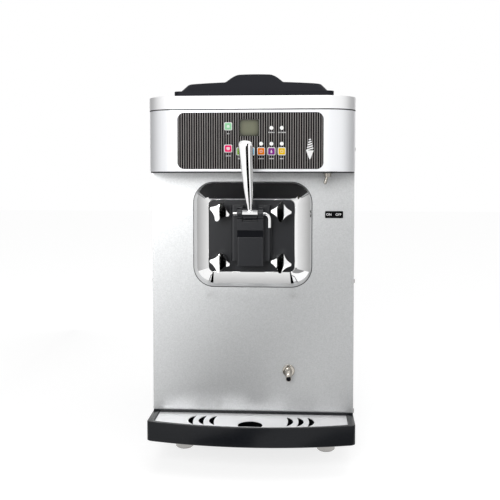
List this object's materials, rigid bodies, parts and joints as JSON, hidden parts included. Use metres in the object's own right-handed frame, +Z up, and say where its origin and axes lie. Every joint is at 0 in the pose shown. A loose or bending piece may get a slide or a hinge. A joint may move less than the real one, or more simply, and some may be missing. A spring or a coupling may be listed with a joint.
{
  "type": "counter-top soft-serve freezer",
  "caption": "Counter-top soft-serve ice cream maker: steel cabinet with overhanging control head, lidded hopper, draw lever over a chromed dispensing bezel, and bowed drip tray.",
  "frame": {"origin": "on the floor under the middle of the whole outline", "axes": "+X to the machine's right as seen from its front, +Y from the front into the machine, +Z up"},
  "size_m": [0.385, 0.6822, 0.7433],
  "materials": {
    "satin_steel": "satin, fine level grain",
    "silver_paint": "fine silver lacquer",
    "grey_steel": "grey primer",
    "pearl_plastic": "pearl silver lacquer",
    "black_lid": "fine moulded grain",
    "black_head": "satin black acetal",
    "tray_black": "polished black",
    "chrome": "bright chrome",
    "bright_steel": "bright rolled steel",
    "overlay_print": "printed film",
    "display_glass": "clear window over a green display",
    "lamp_white": "clear white",
    "plate_black": "printed black",
    "key_mint": "printed film",
    "key_magenta": "printed film",
    "key_lime": "printed film",
    "key_blue": "printed film",
    "key_orange": "printed film",
    "key_purple": "printed film",
    "key_yellow": "printed film",
    "board_green": "solder mask",
    "white_plastic": "food plastic",
    "copper": "drawn copper",
    "foam": "rigid foam",
    "seal_rubber": "matt rubber",
    "cast_grey": "cast and turned",
    "motor_paint": "black enamel",
    "fin_aluminium": "thin fins",
    "fan_plastic": "moulded",
    "gland_plastic": "moulded"
  },
  "bodies": {
    "cabinet": {"front_panel": "satin_steel", "side_panels": "silver_paint", "rear_panel": "silver_paint", "chassis_base": "grey_steel", "body_frame": "grey_steel", "drive_plate": "grey_steel", "fan_shroud": "grey_steel", "head_cover": "pearl_plastic", "top_rim": "pearl_plastic", "dispensing_head": "black_head", "bezel": "chrome", "pivot_pin": "chrome", "drain_spout": "chrome", "toggle_bushing": "chrome", "feet": "chrome", "panel_screws": "chrome", "head_studs": "chrome", "hopper_tank": "bright_steel", "freezing_cylinder": "bright_steel", "control_overlay": "overlay_print", "display_window": "display_glass", "indicator_lamps": "lamp_white", "switch_plate": "plate_black", "control_board": "board_green", "feed_tube": "white_plastic", "shaft_bearings": "white_plastic", "evaporator_jacket": "copper", "refrigerant_pipes": "copper", "barrel_foam": "foam", "barrel_seals": "seal_rubber", "drive_belt": "seal_rubber", "beater_motor": "motor_paint", "compressor": "motor_paint", "fan_motor": "motor_paint", "condenser": "fin_aluminium", "cord_gland": "gland_plastic"},
    "lever": {"draw_lever": "chrome"},
    "plunger": {"draw_plunger": "white_plastic", "plunger_rings": "seal_rubber"},
    "beater_drive": {"beater": "bright_steel", "scraper_blades": "white_plastic", "drive_shaft": "bright_steel", "driven_pulley": "cast_grey"},
    "motor_drive": {"motor_pulley": "cast_grey"},
    "fan": {"condenser_fan": "fan_plastic"},
    "lid": {"hopper_lid": "black_lid"},
    "tray": {"drip_tray": "tray_black"},
    "grid": {"drip_grid": "bright_steel"},
    "toggle": {"power_toggle": "chrome"},
    "mint_button": {"mint_key": "key_mint"},
    "magenta_button": {"magenta_key": "key_magenta"},
    "lime_button": {"lime_key": "key_lime"},
    "blue_button": {"blue_key": "key_blue"},
    "orange_button": {"orange_key": "key_orange"},
    "purple_button": {"purple_key": "key_purple"},
    "yellow_button": {"yellow_key": "key_yellow"},
    "upper_left_nut": {"upper_left_knob": "chrome"},
    "upper_right_nut": {"upper_right_knob": "chrome"},
    "lower_left_nut": {"lower_left_knob": "chrome"},
    "lower_right_nut": {"lower_right_knob": "chrome"}
  },
  "joints": [
    {"name": "draw_lever_hinge", "type": "hinge", "parent": "cabinet", "child": "lever", "pos_m": [0, -0.26686, 0.478], "axis": [1, 0, 0], "range_deg": [0, 57]},
    {"name": "plunger_slide", "type": "slide", "parent": "cabinet", "child": "plunger", "axis": [0, 0, 1], "range_m": [0, 0.0249]},
    {"name": "beater_spin", "type": "hinge", "parent": "cabinet", "child": "beater_drive", "pos_m": [0, -0.10086, 0.435], "axis": [0, 1, 0], "continuous": true},
    {"name": "motor_spin", "type": "hinge", "parent": "cabinet", "child": "motor_drive", "pos_m": [0.045, 0.09914, 0.242], "axis": [0, 1, 0], "continuous": true},
    {"name": "fan_spin", "type": "hinge", "parent": "cabinet", "child": "fan", "pos_m": [0, 0.25914, 0.173], "axis": [0, 1, 0], "continuous": true},
    {"name": "lid_lift", "type": "slide", "parent": "cabinet", "child": "lid", "axis": [0, 0, 1], "range_m": [0, 0.2]},
    {"name": "tray_slide", "type": "slide", "parent": "cabinet", "child": "tray", "axis": [0, -1, 0], "range_m": [0, 0.12]},
    {"name": "grid_lift", "type": "slide", "parent": "tray", "child": "grid", "axis": [0, 0, 1], "range_m": [0, 0.05]},
    {"name": "toggle_hinge", "type": "hinge", "parent": "cabinet", "child": "toggle", "pos_m": [0.139, -0.24086, 0.55], "axis": [0, -1, 0], "range_deg": [0, 30]},
    {"name": "mint_press", "type": "slide", "parent": "cabinet", "child": "mint_button", "axis": [0, 1, 0], "range_m": [0, 0.0007], "stiffness_N_per_m": 1000},
    {"name": "magenta_press", "type": "slide", "parent": "cabinet", "child": "magenta_button", "axis": [0, 1, 0], "range_m": [0, 0.0007], "stiffness_N_per_m": 1000},
    {"name": "lime_press", "type": "slide", "parent": "cabinet", "child": "lime_button", "axis": [0, 1, 0], "range_m": [0, 0.0007], "stiffness_N_per_m": 1000},
    {"name": "blue_press", "type": "slide", "parent": "cabinet", "child": "blue_button", "axis": [0, 1, 0], "range_m": [0, 0.0007], "stiffness_N_per_m": 1000},
    {"name": "orange_press", "type": "slide", "parent": "cabinet", "child": "orange_button", "axis": [0, 1, 0], "range_m": [0, 0.0007], "stiffness_N_per_m": 1000},
    {"name": "purple_press", "type": "slide", "parent": "cabinet", "child": "purple_button", "axis": [0, 1, 0], "range_m": [0, 0.0007], "stiffness_N_per_m": 1000},
    {"name": "yellow_press", "type": "slide", "parent": "cabinet", "child": "yellow_button", "axis": [0, 1, 0], "range_m": [0, 0.0007], "stiffness_N_per_m": 1000},
    {"name": "upper_left_knob_turn", "type": "hinge", "parent": "cabinet", "child": "upper_left_nut", "pos_m": [-0.0555, -0.25686, 0.48135], "axis": [0, 1, 0], "continuous": true},
    {"name": "upper_right_knob_turn", "type": "hinge", "parent": "cabinet", "child": "upper_right_nut", "pos_m": [0.0555, -0.25686, 0.48135], "axis": [0, 1, 0], "continuous": true},
    {"name": "lower_left_knob_turn", "type": "hinge", "parent": "cabinet", "child": "lower_left_nut", "pos_m": [-0.0555, -0.25686, 0.38865], "axis": [0, 1, 0], "continuous": true},
    {"name": "lower_right_knob_turn", "type": "hinge", "parent": "cabinet", "child": "lower_right_nut", "pos_m": [0.0555, -0.25686, 0.38865], "axis": [0, 1, 0], "continuous": true}
  ],
  "couplings": [
    {"joint": "plunger_slide", "follows": "draw_lever_hinge", "m_per_rad": 0.024941},
    {"joint": "motor_spin", "follows": "beater_spin", "ratio": 2.5333}
  ]
}
